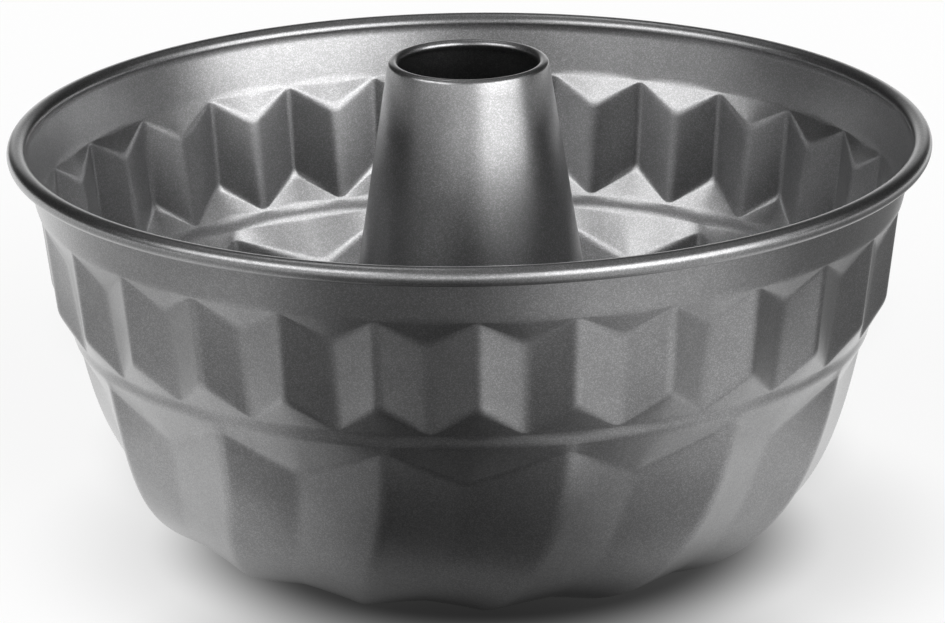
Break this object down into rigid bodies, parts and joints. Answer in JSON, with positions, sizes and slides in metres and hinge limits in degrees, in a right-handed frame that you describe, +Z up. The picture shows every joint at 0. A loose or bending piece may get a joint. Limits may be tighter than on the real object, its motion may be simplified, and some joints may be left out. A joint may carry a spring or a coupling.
{
  "type": "fluted tube pan",
  "caption": "Round ring-cake pan of dark coated sheet steel with a rolled rim, faceted zigzag wall, large flutes that swirl to the foot and an open tapered centre tube.",
  "frame": {"origin": "centre of the foot ring, on the surface that the pan stands on", "axes": "+Z up along the axis of the centre tube; -Y is the side that faces the picture's camera, +X to its right"},
  "size_m": [0.23, 0.23, 0.1229],
  "materials": {
    "bowl_coating": "satin dark grey non-stick coating with a fine metallic speckle",
    "tube_coating": "satin dark grey non-stick coating with a fine metallic speckle"
  },
  "bodies": {
    "root": {"fluted_bowl": "bowl_coating", "centre_tube": "tube_coating"}
  },
  "joints": []
}
